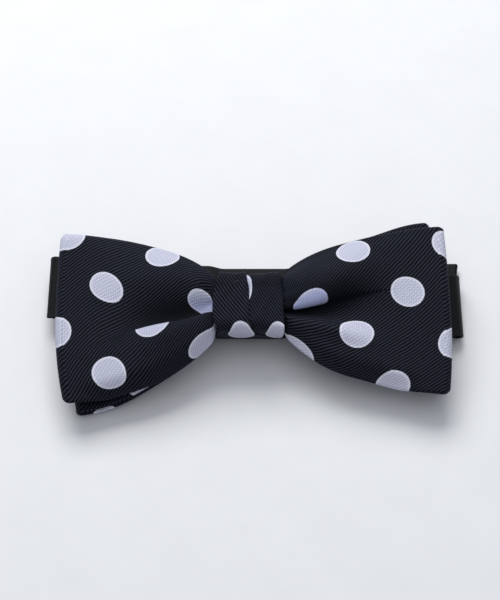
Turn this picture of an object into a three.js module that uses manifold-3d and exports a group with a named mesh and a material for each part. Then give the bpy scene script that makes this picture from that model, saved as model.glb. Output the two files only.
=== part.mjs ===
// A pre-tied bow tie lying face up on its folded neck strap.
// Millimetres, +X to the right along the bow, +Y away from the near edge, +Z up.
import * as THREE from 'three';
import { mergeVertices } from 'three/addons/utils/BufferGeometryUtils.js';
import Module from 'manifold-3d';

const wasm = await Module();
wasm.setup();

// ---------------------------------------------------------------- driving dimensions

// Where the bow lies: its near edge is down on the table, its far edge is propped by the strap.
const BOW_TILT = THREE.MathUtils.degToRad(10);
const BOW_HEIGHT = 12.8; // centre of the knot above the table
const KNOT_X = -1.5; // the knot sits a little left of the middle of the front bow

// Wings, in the bow's own frame: u along the bow, v across it, n out of its face.
const WAIST_HALF_LENGTH = 9.7;
const WAIST_HALF_HEIGHT = 7.1;
const WING_FLARE = 20.3;
const WING_FLARE_LENGTH = 17;
const WING_FLARE_POWER = 0.85;
const WING_SAG = -3; // the wings hang this far towards the near edge
const WING_SAG_LENGTH = 14;
const WING_DROOP = 2.4; // how far a near outer corner bends back
const WING_DROOP_LENGTH = 48; // distance from the knot at which it has bent that far
const WING_DROOP_FAR = 0.35; // share of it that the far corner has
const WING_LOBE = 2.2; // swell of the two lobes beside the middle valley
const WING_LOBE_PEAK = 7; // distance from the knot to the fullest point

// Every band is two plies of cloth round a canvas strip.
const PLY_HALF_THICKNESS = 0.95;
const SHELL_WALL = 0.5;
const CANVAS_HALF_THICKNESS = 0.25;
const CANVAS_EDGE_INSET = 0.9;
const BAND_END_GAP = 0.8;
const BUNDLE_HALF_THICKNESS = 4.5; // of the four plies at the waist
const GATHER_TURNS = 3;
const GATHER_SPREAD = 1.8;
const GATHER_RADIUS = 0.2;
const GATHER_CLEARANCE = 0.42;
const BAND_SEAM_RADIUS = 0.12;
const BAND_SEAM_HALF_STITCH = 0.35;

// Each bow: reach of its outer folds from the knot, turn in its plane, and where its plies lie.
const FRONT_BOW = {
  left: 56,
  right: 59,
  turn: 1,
  frontAtWaist: 3.55,
  frontAtFold: 4.65,
  back: 1.25,
  backAtFold: 1.25,
  lobe: WING_LOBE,
};
const BACK_BOW = {
  left: 52.5,
  right: 55.5,
  turn: 2.6,
  frontAtWaist: -1.25,
  frontAtFold: -1.25,
  back: -3.55,
  backAtFold: -4.65,
  lobe: 0,
};

// Knot wrap: a rounded rectangle in the v-n plane, as wide as the knot along u.
const KNOT_HALF_WIDTH = 9.75;
const KNOT_HALF_HEIGHT = 8.9; // inside
const KNOT_FRONT = 6.1; // inside
const KNOT_BACK = -6.45; // inside
const KNOT_FRONT_RADIUS = 2.4;
const KNOT_BACK_RADIUS = 1.8;
const KNOT_WALL = 0.95;
const KNOT_EDGE_WALL = 0.7; // the wall at the wrap's two turned side edges
const KNOT_EDGE_WIDTH = 0.5;
const KNOT_PLEAT = 0.55; // step of the knife pleat where the left panel overlaps the right
const KNOT_PLEAT_TOP = -1; // along u: where the left panel is highest, its edge, and the foot of the step
const KNOT_PLEAT_EDGE = 0.5;
const KNOT_PLEAT_FOOT = 0.8;
const KNOT_SEAM_GAP = 0.4;
const KNOT_CANVAS_GAP = 0.25;
const KNOT_CANVAS_THICKNESS = 0.45;
const KNOT_CANVAS_SIDE_INSET = 0.8;
const KNOT_CANVAS_RISE = 3.5; // it stops this far above the wrap's back, clear of the strap
const CLOSING_HALF_LENGTH = 7;
const CLOSING_HALF_STITCH = 0.9;
const CLOSING_STAND_OFF = 0.55;
const CLOSING_RADIUS = 0.18;

// Neck strap
const STRAP_HALF_WIDTH = 10;
const STRAP_HALF_THICKNESS = 0.35;
const STRAP_HALF_IN_KNOT = 7.2; // gathered where it passes through the knot
const STRAP_NARROW_END = 13.5;
const STRAP_WIDE_FROM = 24;
const STRAP_LEFT = -59.3;
const STRAP_RIGHT = 58.3;
const STRAP_Y = 9.5; // middle of the lower runs
const TOP_RUN_IN_KNOT = -5.85; // n of the run that the bow hangs on, at the knot and at the outer folds
const TOP_RUN_AT_FOLD = -7.15;
const TOP_RUN_SHIFT_LEFT = 9.1; // how far it strays across at each outer fold
const TOP_RUN_SHIFT_RIGHT = 3.2;
const RUN_Z = STRAP_HALF_THICKNESS; // a run lying on the table
const SECOND_RUN_Z = 1.25; // a run lying on another

// Hardware for a 20 mm strap
const SLIDER_X = -28;
const SLIDER_HALF_LENGTH = 5.8;
const SLIDER_OUTER_BAR = 1.8;
const SLIDER_RAIL_INSIDE = 10.5;
const SLIDER_RAIL_OUTSIDE = 12;
const SLIDER_LOW = 0.95;
const SLIDER_HIGH = 4.3;
const SLIDER_BAR_THICKNESS = 0.7;
const SLIDER_CENTRE_BAR = 1.8;
const TAIL_UNDER = 7.7; // reach of the tail's two layers back from the centre bar
const TAIL_OVER = 6.7;
const TAIL_ON_BAR_Z = 2.15;
const HOOK_X = -43.5;
const HOOK_Z = 1.7;
const HOOK_THICKNESS = 0.9;
const HOOK_FRAME = 5.5; // reach of its slot frame from the strap's fold
const HOOK_BAR = 1.5;
const HOOK_REACH = 12.5; // reach of its claw
const CLAW_WIDTH = 3.5;
const CLAW_BEND = 4;
const EYE_X = 24;
const EYE_Z = 1.45;
const EYE_THICKNESS = 0.8;
const EYE_LENGTH = 11.4;
const EYE_BAR = 1.6;
const FOLD_BAR_HALF = 0.5; // half the bar that a strap's fold goes round

// Bar tacks
const TACK_HALF_WIDTH = 8.5;
const TACK_HALF_STITCH = 0.5;
const TACK_RADIUS = 0.15;
const TACK_Z = 2; // on a run that lies on another
const SLIDER_TACK_OFFSET = -5.3;
const EYE_TACK_OFFSET = 6.5;

// ---------------------------------------------------------------- materials

const colours = {
  twill: { color: 0x14161f, roughness: 0.72, metalness: 0 },
  ribbon: { color: 0x121416, roughness: 0.6, metalness: 0 },
  canvas: { color: 0xe6e1d3, roughness: 0.95, metalness: 0 },
  thread: { color: 0x17181d, roughness: 0.8, metalness: 0 },
  nickel: { color: 0xc9c9c6, roughness: 0.25, metalness: 1 },
};
const materials = {};
for (const [name, look] of Object.entries(colours)) {
  materials[name] = new THREE.MeshStandardMaterial(look);
}

// ---------------------------------------------------------------- building solids

function geometryOf(points, triangles) {
  const geometry = new THREE.BufferGeometry();
  const numbers = points.flatMap((p) => [p.x, p.y, p.z]);
  geometry.setAttribute('position', new THREE.Float32BufferAttribute(numbers, 3));
  geometry.setIndex(triangles);
  if (signedVolume(points, triangles) < 0) {
    geometry.setIndex(triangles.slice().reverse());
  }
  geometry.computeVertexNormals();
  return geometry;
}

function signedVolume(points, triangles) {
  const cross = new THREE.Vector3();
  let sum = 0;
  for (let i = 0; i < triangles.length; i += 3) {
    const [a, b, c] = [points[triangles[i]], points[triangles[i + 1]], points[triangles[i + 2]]];
    sum += a.dot(cross.crossVectors(b, c));
  }
  return sum;
}

// Faces between neighbouring rings, each ring closed on itself.
function skin(triangles, ringCount, ringSize, first, flipped) {
  for (let i = 0; i + 1 < ringCount; i += 1) {
    for (let j = 0; j < ringSize; j += 1) {
      const a = first + i * ringSize + j;
      const b = first + i * ringSize + ((j + 1) % ringSize);
      const c = b + ringSize;
      const d = a + ringSize;
      const quad = flipped ? [a, c, b, a, d, c] : [a, b, c, a, c, d];
      triangles.push(...quad);
    }
  }
}

// A solid through flat rings; each ring runs out along one side and back along the other.
function loft(rings) {
  const size = rings[0].length;
  const points = rings.flat();
  const triangles = [];
  skin(triangles, rings.length, size, 0, false);
  const last = (rings.length - 1) * size;
  for (let j = 0; j + 1 < size / 2; j += 1) {
    const [a, b, c, d] = [j, j + 1, size - 2 - j, size - 1 - j];
    triangles.push(a, c, b, a, d, c);
    triangles.push(last + a, last + b, last + c, last + a, last + c, last + d);
  }
  return geometryOf(points, triangles);
}

// A tube with a wall: outer rings, matching inner rings, and a rim at each open end.
function tube(outerRings, innerRings) {
  const size = outerRings[0].length;
  const innerFirst = outerRings.length * size;
  const points = [...outerRings.flat(), ...innerRings.flat()];
  const triangles = [];
  skin(triangles, outerRings.length, size, 0, false);
  skin(triangles, innerRings.length, size, innerFirst, true);
  const last = (outerRings.length - 1) * size;
  for (let j = 0; j < size; j += 1) {
    const k = (j + 1) % size;
    triangles.push(j, innerFirst + k, k, j, innerFirst + j, innerFirst + k);
    const [a, b, c, d] = [last + j, last + k, innerFirst + last + k, innerFirst + last + j];
    triangles.push(a, b, c, a, c, d);
  }
  return geometryOf(points, triangles);
}

function solidOf(geometry) {
  const bare = geometry.clone();
  bare.deleteAttribute('normal');
  bare.deleteAttribute('uv');
  const merged = mergeVertices(bare, 1e-4);
  return new wasm.Manifold(new wasm.Mesh({
    numProp: 3,
    vertProperties: new Float32Array(merged.attributes.position.array),
    triVerts: new Uint32Array(merged.index.array),
  }));
}

function geometryFrom(solid) {
  const mesh = solid.getMesh();
  const geometry = new THREE.BufferGeometry();
  geometry.setAttribute('position', new THREE.BufferAttribute(new Float32Array(mesh.vertProperties), 3));
  geometry.setIndex(Array.from(mesh.triVerts));
  geometry.computeVertexNormals();
  return geometry;
}

function joined(geometries) {
  return geometryFrom(geometries.map(solidOf).reduce((sum, solid) => sum.add(solid)));
}

function block(x0, x1, y0, y1, z0, z1) {
  return new THREE.BoxGeometry(x1 - x0, y1 - y0, z1 - z0)
    .translate((x0 + x1) / 2, (y0 + y1) / 2, (z0 + z1) / 2);
}

function thread(points, radius, steps) {
  const section = new THREE.Shape();
  section.absarc(0, 0, radius, 0, Math.PI * 2, false);
  const path = new THREE.CatmullRomCurve3(points, false, 'centripetal');
  const options = { steps, extrudePath: path, curveSegments: 3, bevelEnabled: false };
  return new THREE.ExtrudeGeometry(section, options);
}

function piece(name, geometry, material, parent) {
  const mesh = new THREE.Mesh(geometry, materials[material]);
  mesh.name = name;
  parent.add(mesh);
  return mesh;
}

// ---------------------------------------------------------------- the cloth of the bows

const smooth = (t) => {
  const s = THREE.MathUtils.clamp(t, 0, 1);
  return s * s * (3 - 2 * s);
};
const fromKnot = (u) => Math.max(0, Math.abs(u) - WAIST_HALF_LENGTH);

function wingHalfHeight(u) {
  const reach = (fromKnot(u) / WING_FLARE_LENGTH) ** WING_FLARE_POWER;
  return WAIST_HALF_HEIGHT + WING_FLARE * (1 - Math.exp(-reach));
}

function wingSag(u) {
  return WING_SAG * (1 - Math.exp(-fromKnot(u) / WING_SAG_LENGTH));
}

// How far the cloth bends back at a place; across runs from -1 at the near edge to 1 at the far edge.
function wingDroop(u, across) {
  const outward = (fromKnot(u) / WING_DROOP_LENGTH) ** 2;
  const towardsNear = ((1 - across) / 2) ** 2;
  return -WING_DROOP * outward * THREE.MathUtils.lerp(WING_DROOP_FAR, 1, towardsNear);
}

function wingLobe(u, across) {
  const d = fromKnot(u) / WING_LOBE_PEAK;
  return d * Math.exp(1 - d) * Math.sin(Math.PI * across) ** 2;
}

// Stations along a band: in at the centre back, out to the right fold, across the front, and back.
function bandStations(bow) {
  const wingSteps = 6;
  const foldSteps = 4;
  const along = (reach, k) => WAIST_HALF_LENGTH + (reach - WAIST_HALF_LENGTH) * (k / wingSteps) ** 1.5;
  const between = (atWaist, atFold, reach, u) => {
    const outward = smooth(fromKnot(u) / reach);
    return THREE.MathUtils.lerp(atWaist, atFold, outward);
  };
  const frontN = (reach, u) => between(bow.frontAtWaist, bow.frontAtFold, reach, u);
  const backN = (reach, u) => between(bow.back, bow.backAtFold, reach, u);
  const foldRadius = (bow.frontAtFold - bow.backAtFold) / 2;
  const foldN = (bow.frontAtFold + bow.backAtFold) / 2;

  const half = (side, reach) => {
    const end = reach - foldRadius - PLY_HALF_THICKNESS;
    const back = [{ u: side * BAND_END_GAP / 2, n: bow.back, nu: 0, nn: -1, front: 0 }];
    const front = [{ u: 0, n: bow.frontAtWaist, nu: 0, nn: 1, front: 1 }];
    for (let k = 0; k <= wingSteps; k += 1) {
      const u = along(end, k);
      back.push({ u: side * u, n: backN(end, u), nu: 0, nn: -1, front: 0 });
      front.push({ u: side * u, n: frontN(end, u), nu: 0, nn: 1, front: 1 });
    }
    const fold = [];
    for (let k = 1; k < foldSteps; k += 1) {
      const angle = Math.PI * (k / foldSteps - 0.5);
      const [nu, nn] = [side * Math.cos(angle), Math.sin(angle)];
      fold.push({ u: side * end + nu * foldRadius, n: foldN + nn * foldRadius, nu, nn, front: 0 });
    }
    return [...back, ...fold, ...front.reverse()];
  };
  const right = half(1, bow.right);
  const left = half(-1, bow.left).reverse();
  return [...right, ...left.slice(1)];
}

function bandPoint(bow, station, across, offset) {
  const u = station.u + station.nu * offset;
  const v = wingSag(station.u) + across * wingHalfHeight(station.u);
  const lobe = station.front * bow.lobe * wingLobe(station.u, across);
  const n = station.n + station.nn * offset + wingDroop(station.u, across) + lobe;
  const outOfFace = new THREE.Vector3(0, 0, 1);
  return new THREE.Vector3(u, v, n).applyAxisAngle(outOfFace, THREE.MathUtils.degToRad(bow.turn));
}

function bandRing(bow, station, offset, edgeInset) {
  const acrossSteps = 8;
  const limit = 1 - edgeInset / wingHalfHeight(station.u);
  const outside = [];
  const inside = [];
  for (let k = 0; k <= acrossSteps; k += 1) {
    const across = THREE.MathUtils.clamp(-1 + (2 * k) / acrossSteps, -limit, limit);
    outside.push(bandPoint(bow, station, across, offset));
    inside.push(bandPoint(bow, station, across, -offset));
  }
  return [...outside, ...inside.reverse()];
}

function bandShell(bow) {
  const stations = bandStations(bow);
  const outer = stations.map((station) => bandRing(bow, station, PLY_HALF_THICKNESS, 0));
  const inside = PLY_HALF_THICKNESS - SHELL_WALL;
  const inner = stations.map((station) => bandRing(bow, station, inside, SHELL_WALL));
  return tube(outer, inner);
}

function bandCanvas(bow) {
  const stations = bandStations(bow);
  return loft(stations.map((station) => bandRing(bow, station, CANVAS_HALF_THICKNESS, CANVAS_EDGE_INSET)));
}

// The stitches in the slit where a band's two ends meet.
function bandSeam(bow) {
  const points = [];
  const stitches = 8;
  for (let k = 0; k <= stitches; k += 1) {
    const v = THREE.MathUtils.lerp(-WAIST_HALF_HEIGHT + 1, WAIST_HALF_HEIGHT - 1, k / stitches);
    points.push(new THREE.Vector3(0, v, bow.back + (k % 2 ? 1 : -1) * BAND_SEAM_HALF_STITCH));
  }
  return thread(points, BAND_SEAM_RADIUS, stitches * 2);
}

// ---------------------------------------------------------------- the knot

// A rounded rectangle in the v-n plane, open by a gap at the middle of its back, as [v, n] points.
function roundedOutline(halfV, back, front, backRadius, frontRadius, gap) {
  const points = [];
  const line = (v0, n0, v1, n1, steps) => {
    for (let k = 0; k < steps; k += 1) {
      points.push([THREE.MathUtils.lerp(v0, v1, k / steps), THREE.MathUtils.lerp(n0, n1, k / steps)]);
    }
  };
  const corner = (v, n, radius, from, steps) => {
    for (let k = 0; k < steps; k += 1) {
      const angle = from + (Math.PI / 2) * (k / steps);
      points.push([v + radius * Math.cos(angle), n + radius * Math.sin(angle)]);
    }
  };
  const [vb, vf] = [halfV - backRadius, halfV - frontRadius];
  const [nb, nf] = [back + backRadius, front - frontRadius];
  line(gap / 2, back, vb, back, 2);
  corner(vb, nb, backRadius, -Math.PI / 2, 3);
  line(halfV, nb, halfV, nf, 2);
  corner(vf, nf, frontRadius, 0, 4);
  line(vf, front, -vf, front, 4);
  corner(-vf, nf, frontRadius, Math.PI / 2, 4);
  line(-halfV, nf, -halfV, nb, 2);
  corner(-vb, nb, backRadius, Math.PI, 3);
  line(-vb, back, -gap / 2, back, 2);
  points.push([-gap / 2, back]);
  return points;
}

// The inside of the knot, grown outward by offset.
function knotOutline(offset) {
  return roundedOutline(KNOT_HALF_HEIGHT + offset, KNOT_BACK - offset, KNOT_FRONT + offset,
    KNOT_BACK_RADIUS + offset, KNOT_FRONT_RADIUS + offset, KNOT_SEAM_GAP);
}

// The wrap's section along u: its left panel stands a pleat higher than its right one at the front.
function knotWrap() {
  const inner = knotOutline(0);
  const outer = knotOutline(1);
  const rings = inner.map(([v, n], k) => {
    const [outV, outN] = [outer[k][0] - v, outer[k][1] - n];
    const pleat = KNOT_PLEAT * smooth((n - KNOT_BACK) / (KNOT_FRONT - KNOT_BACK));
    const at = (u, height) => new THREE.Vector3(u, v + outV * height, n + outN * height);
    const section = [
      [-KNOT_HALF_WIDTH, KNOT_EDGE_WALL],
      [-KNOT_HALF_WIDTH + KNOT_EDGE_WIDTH, KNOT_WALL],
      [KNOT_PLEAT_TOP, KNOT_WALL + pleat],
      [KNOT_PLEAT_EDGE, KNOT_WALL + pleat * 0.9],
      [KNOT_PLEAT_FOOT, KNOT_WALL],
      [KNOT_HALF_WIDTH - KNOT_EDGE_WIDTH, KNOT_WALL],
      [KNOT_HALF_WIDTH, KNOT_EDGE_WALL],
    ];
    const outside = section.map(([u, height]) => at(u, height));
    const inside = section.map(([u]) => at(u, 0));
    return [...outside, ...inside.reverse()];
  });
  return loft(rings);
}

function knotCanvas() {
  const outer = knotOutline(-KNOT_CANVAS_GAP);
  const inner = knotOutline(-KNOT_CANVAS_GAP - KNOT_CANVAS_THICKNESS);
  const half = KNOT_HALF_WIDTH - KNOT_CANVAS_SIDE_INSET;
  const rings = [];
  outer.forEach(([v, n], k) => {
    const aboveStrap = n > KNOT_BACK + KNOT_CANVAS_RISE;
    if (aboveStrap) {
      const [w, m] = inner[k];
      rings.push([
        new THREE.Vector3(-half, v, n), new THREE.Vector3(half, v, n),
        new THREE.Vector3(half, w, m), new THREE.Vector3(-half, w, m),
      ]);
    }
  });
  return loft(rings);
}

// Three turns of thread round the pleated waist.
function gatherThread() {
  const halfV = WAIST_HALF_HEIGHT + GATHER_CLEARANCE;
  const halfN = BUNDLE_HALF_THICKNESS + GATHER_CLEARANCE;
  const turn = roundedOutline(halfV, -halfN, halfN, 0.5, 0.5, 0);
  turn.pop();
  const total = GATHER_TURNS * turn.length;
  const points = [];
  for (let k = 0; k <= total; k += 1) {
    const [v, n] = turn[k % turn.length];
    points.push(new THREE.Vector3(GATHER_SPREAD * (k / total - 0.5), v, n));
  }
  return thread(points, GATHER_RADIUS, total);
}

// A zigzag over the slit in the wrap's back.
function knotClosing() {
  const stitches = 8;
  const points = [];
  for (let k = 0; k <= stitches; k += 1) {
    const u = THREE.MathUtils.lerp(-CLOSING_HALF_LENGTH, CLOSING_HALF_LENGTH, k / stitches);
    const v = (k % 2 ? 1 : -1) * CLOSING_HALF_STITCH;
    points.push(new THREE.Vector3(u, v, KNOT_BACK - KNOT_WALL - CLOSING_STAND_OFF));
  }
  return thread(points, CLOSING_RADIUS, stitches * 2);
}

// ---------------------------------------------------------------- the strap

// A ribbon along stations { x, y, z, tilt, half }: tilt raises its far edge, half is half its width.
function ribbon(stations) {
  const middle = stations.map((s) => new THREE.Vector3(s.x, s.y, s.z));
  const rings = stations.map((s, k) => {
    const before = middle[Math.max(0, k - 1)];
    const after = middle[Math.min(middle.length - 1, k + 1)];
    const along = after.clone().sub(before).normalize();
    const across = new THREE.Vector3(0, Math.cos(s.tilt), Math.sin(s.tilt));
    const out = along.clone().cross(across).normalize().multiplyScalar(STRAP_HALF_THICKNESS);
    const reach = across.multiplyScalar(s.half ?? STRAP_HALF_WIDTH);
    const [near, far] = [middle[k].clone().sub(reach), middle[k].clone().add(reach)];
    return [near.clone().add(out), far.clone().add(out), far.clone().sub(out), near.clone().sub(out)];
  });
  return loft(rings);
}

// Stations along X through hand-placed levels, easing from each to the next.
function run(levels, steps) {
  const stations = [];
  for (let i = 0; i + 1 < levels.length; i += 1) {
    const [from, to] = [levels[i], levels[i + 1]];
    const count = from.z === to.z && from.y === to.y ? 1 : steps;
    for (let k = 0; k < count; k += 1) {
      const t = k / count;
      const ease = smooth(t);
      stations.push({
        x: THREE.MathUtils.lerp(from.x, to.x, t),
        y: THREE.MathUtils.lerp(from.y, to.y, ease),
        z: THREE.MathUtils.lerp(from.z, to.z, ease),
        tilt: THREE.MathUtils.lerp(from.tilt ?? 0, to.tilt ?? 0, ease),
      });
    }
  }
  const end = levels[levels.length - 1];
  stations.push({ x: end.x, y: end.y, z: end.z, tilt: end.tilt ?? 0 });
  return stations;
}

// A rounded fold that bulges to one side in X, from one run's end to the start of the next.
function fold(from, to, side, steps) {
  const radius = Math.abs(from.z - to.z) / 2;
  const stations = [];
  for (let k = 1; k < steps; k += 1) {
    const angle = (Math.PI * k) / steps;
    const t = k / steps;
    stations.push({
      x: THREE.MathUtils.lerp(from.x, to.x, t) + side * radius * Math.sin(angle),
      y: THREE.MathUtils.lerp(from.y, to.y, t),
      z: (from.z + to.z) / 2 + ((from.z - to.z) / 2) * Math.cos(angle),
      tilt: THREE.MathUtils.lerp(from.tilt ?? 0, to.tilt ?? 0, t),
    });
  }
  return stations;
}

// The top run goes through the knot, parallel to the back of the bow.
function topRun() {
  const behind = (u, v, n) => {
    const place = new THREE.Vector3(0, v, n).applyAxisAngle(new THREE.Vector3(1, 0, 0), BOW_TILT);
    return { x: KNOT_X + u, y: place.y, z: BOW_HEIGHT + place.z, tilt: BOW_TILT };
  };
  const stations = [];
  const steps = 30;
  const [right, left] = [STRAP_RIGHT - KNOT_X, STRAP_LEFT - KNOT_X];
  for (let k = 0; k <= steps; k += 1) {
    const u = THREE.MathUtils.lerp(right, left, k / steps);
    const outward = smooth((Math.abs(u) - STRAP_NARROW_END) / (right - STRAP_NARROW_END));
    const v = (u < 0 ? TOP_RUN_SHIFT_LEFT : TOP_RUN_SHIFT_RIGHT) * outward;
    const wide = smooth((Math.abs(u) - STRAP_NARROW_END) / (STRAP_WIDE_FROM - STRAP_NARROW_END));
    const station = behind(u, v, THREE.MathUtils.lerp(TOP_RUN_IN_KNOT, TOP_RUN_AT_FOLD, outward));
    station.half = THREE.MathUtils.lerp(STRAP_HALF_IN_KNOT, STRAP_HALF_WIDTH, wide);
    stations.push(station);
  }
  return stations;
}

function neckStrap() {
  const eyeWrap = { x: EYE_X, y: STRAP_Y, z: 2 * EYE_Z - RUN_Z };
  const eyeRun = run([{ x: EYE_X + 8.5, y: STRAP_Y, z: SECOND_RUN_Z },
    { x: EYE_X + 5, y: STRAP_Y, z: SECOND_RUN_Z }, eyeWrap], 4);
  const bottomRun = run([{ x: EYE_X, y: STRAP_Y, z: RUN_Z }, { x: 42, y: STRAP_Y, z: RUN_Z },
    { x: STRAP_RIGHT, y: 7, z: RUN_Z }], 3);
  const top = topRun();
  const secondRun = run([
    { x: STRAP_LEFT, y: 11.4, z: 4.4 },
    { x: -40, y: 10.6, z: 4.9 },
    { x: -14, y: 9.4, z: 4.9 },
    { x: -9, y: 9, z: 3.9 },
    { x: 9, y: 9, z: 3.9 },
    { x: 14, y: 9, z: 4.85 },
    { x: 31, y: 9.4, z: 4.85 },
    { x: 45, y: 10.4, z: 2.6 },
    { x: STRAP_RIGHT, y: 10.8, z: 2.6 },
  ], 4);
  const thirdRun = run([
    { x: STRAP_RIGHT, y: 10.8, z: 1.3 },
    { x: 43, y: 10.4, z: 1.3 },
    { x: 33, y: 9.6, z: 3.75 },
    { x: 13, y: STRAP_Y, z: 3.75 },
    { x: 3, y: STRAP_Y, z: RUN_Z },
    { x: -6, y: STRAP_Y, z: RUN_Z },
    { x: -13.5, y: STRAP_Y, z: 3.05 },
    { x: HOOK_X, y: STRAP_Y, z: 3.05 },
  ], 4);
  const returnRun = [
    { x: HOOK_X, y: STRAP_Y, z: RUN_Z, tilt: 0 },
    { x: -36, y: STRAP_Y, z: RUN_Z, tilt: 0 },
  ];
  const last = (list) => list[list.length - 1];
  return ribbon([
    ...eyeRun, ...fold(last(eyeRun), bottomRun[0], -1, 6),
    ...bottomRun, ...fold(last(bottomRun), top[0], 1, 8),
    ...top, ...fold(last(top), secondRun[0], -1, 6),
    ...secondRun, ...fold(last(secondRun), thirdRun[0], 1, 6),
    ...thirdRun, ...fold(last(thirdRun), returnRun[0], -1, 6),
    ...returnRun,
  ]);
}

// The strap's sewn end, round the slider's low centre bar.
function strapTail() {
  const level = (along, z) => ({ x: SLIDER_X + along, y: STRAP_Y, z, tilt: 0 });
  const under = [level(-TAIL_UNDER, RUN_Z), level(1, RUN_Z)];
  const over = run([level(1, TAIL_ON_BAR_Z), level(-1.6, TAIL_ON_BAR_Z), level(-4, SECOND_RUN_Z),
    level(-TAIL_OVER, SECOND_RUN_Z)], 4);
  return ribbon([...under, ...fold(under[1], over[0], 1, 6), ...over]);
}

// ---------------------------------------------------------------- hardware

function slider() {
  const [near, far] = [STRAP_Y - SLIDER_RAIL_OUTSIDE, STRAP_Y + SLIDER_RAIL_OUTSIDE];
  const rail = SLIDER_RAIL_OUTSIDE - SLIDER_RAIL_INSIDE;
  const [x0, x1] = [-SLIDER_HALF_LENGTH, SLIDER_HALF_LENGTH];
  const centre = SLIDER_CENTRE_BAR / 2;
  const geometry = joined([
    block(x0, x1, near, near + rail, SLIDER_LOW, SLIDER_HIGH),
    block(x0, x1, far - rail, far, SLIDER_LOW, SLIDER_HIGH),
    block(-centre, centre, near, far, SLIDER_LOW, SLIDER_LOW + SLIDER_BAR_THICKNESS),
    block(x0, x0 + SLIDER_OUTER_BAR, near, far, SLIDER_HIGH - SLIDER_BAR_THICKNESS, SLIDER_HIGH),
    block(x1 - SLIDER_OUTER_BAR, x1, near, far, SLIDER_HIGH - SLIDER_BAR_THICKNESS, SLIDER_HIGH),
  ]);
  return geometry.translate(SLIDER_X, 0, 0);
}

function rectangle(path, x0, x1, y0, y1, radius) {
  path.moveTo(x0 + radius, y0);
  path.lineTo(x1 - radius, y0);
  path.absarc(x1 - radius, y0 + radius, radius, -Math.PI / 2, 0, false);
  path.lineTo(x1, y1 - radius);
  path.absarc(x1 - radius, y1 - radius, radius, 0, Math.PI / 2, false);
  path.lineTo(x0 + radius, y1);
  path.absarc(x0 + radius, y1 - radius, radius, Math.PI / 2, Math.PI, false);
  path.lineTo(x0, y0 + radius);
  path.absarc(x0 + radius, y0 + radius, radius, Math.PI, Math.PI * 1.5, false);
  return path;
}

function plate(shape, thickness) {
  return new THREE.ExtrudeGeometry(shape, { depth: thickness, bevelEnabled: false, curveSegments: 4 })
    .translate(0, 0, -thickness / 2);
}

// The slot frame round the strap's fold, with a flat in-plane hook beyond it.
function hook() {
  const foldBar = FOLD_BAR_HALF + 0.1;
  const frame = rectangle(new THREE.Shape(), -HOOK_FRAME, foldBar,
    -SLIDER_RAIL_OUTSIDE, SLIDER_RAIL_OUTSIDE, 1);
  frame.holes.push(rectangle(new THREE.Path(), -HOOK_FRAME + HOOK_BAR, -foldBar,
    -SLIDER_RAIL_INSIDE, SLIDER_RAIL_INSIDE, 0.4));

  const [root, tip, far] = [4, -6, 9]; // across: where the neck starts, the claw's tip, and its outer side
  const outer = -HOOK_REACH;
  const inner = outer + CLAW_WIDTH;
  const neck = -HOOK_FRAME + 0.5;
  const insideBend = far - CLAW_BEND - root + 0.5;
  const claw = new THREE.Shape();
  claw.moveTo(neck, root);
  claw.lineTo(neck, far);
  claw.lineTo(outer + CLAW_BEND, far);
  claw.absarc(outer + CLAW_BEND, far - CLAW_BEND, CLAW_BEND, Math.PI / 2, Math.PI, false);
  claw.lineTo(outer, tip);
  claw.absarc(outer + CLAW_WIDTH / 2, tip, CLAW_WIDTH / 2, Math.PI, Math.PI * 2, false);
  claw.lineTo(inner, root - insideBend);
  claw.absarc(inner + insideBend, root - insideBend, insideBend, Math.PI, Math.PI / 2, true);
  const geometry = joined([plate(frame, HOOK_THICKNESS), plate(claw, HOOK_THICKNESS)]);
  return geometry.translate(HOOK_X, STRAP_Y, HOOK_Z);
}

function eye() {
  const shape = rectangle(new THREE.Shape(), -EYE_LENGTH, FOLD_BAR_HALF,
    -SLIDER_RAIL_OUTSIDE, SLIDER_RAIL_OUTSIDE, 1.5);
  shape.holes.push(rectangle(new THREE.Path(), -EYE_LENGTH + EYE_BAR, -FOLD_BAR_HALF,
    -SLIDER_RAIL_INSIDE, SLIDER_RAIL_INSIDE, 0.6));
  return plate(shape, EYE_THICKNESS).translate(EYE_X, STRAP_Y, EYE_Z);
}

// A close row of stitches across a strap's folded-back end.
function barTack(x) {
  const stitches = 14;
  const points = [];
  for (let k = 0; k <= stitches; k += 1) {
    const y = STRAP_Y + THREE.MathUtils.lerp(-TACK_HALF_WIDTH, TACK_HALF_WIDTH, k / stitches);
    points.push(new THREE.Vector3(x + (k % 2 ? 1 : -1) * TACK_HALF_STITCH, y, TACK_Z));
  }
  return thread(points, TACK_RADIUS, stitches * 2);
}

// ---------------------------------------------------------------- assembly

const part = new THREE.Group();
const onTable = new THREE.Group();
part.add(onTable);
const bow = new THREE.Group();
bow.position.set(KNOT_X, 0, BOW_HEIGHT);
bow.rotation.x = BOW_TILT;
onTable.add(bow);

piece('front_bow_shell', bandShell(FRONT_BOW), 'twill', bow);
piece('front_bow_interlining', bandCanvas(FRONT_BOW), 'canvas', bow);
piece('front_bow_seam_thread', bandSeam(FRONT_BOW), 'thread', bow);
piece('back_bow_shell', bandShell(BACK_BOW), 'twill', bow);
piece('back_bow_interlining', bandCanvas(BACK_BOW), 'canvas', bow);
piece('back_bow_seam_thread', bandSeam(BACK_BOW), 'thread', bow);
piece('knot_wrap', knotWrap(), 'twill', bow);
piece('knot_interlining', knotCanvas(), 'canvas', bow);
piece('knot_closing_stitches', knotClosing(), 'thread', bow);
piece('gather_thread', gatherThread(), 'thread', bow);

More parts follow.
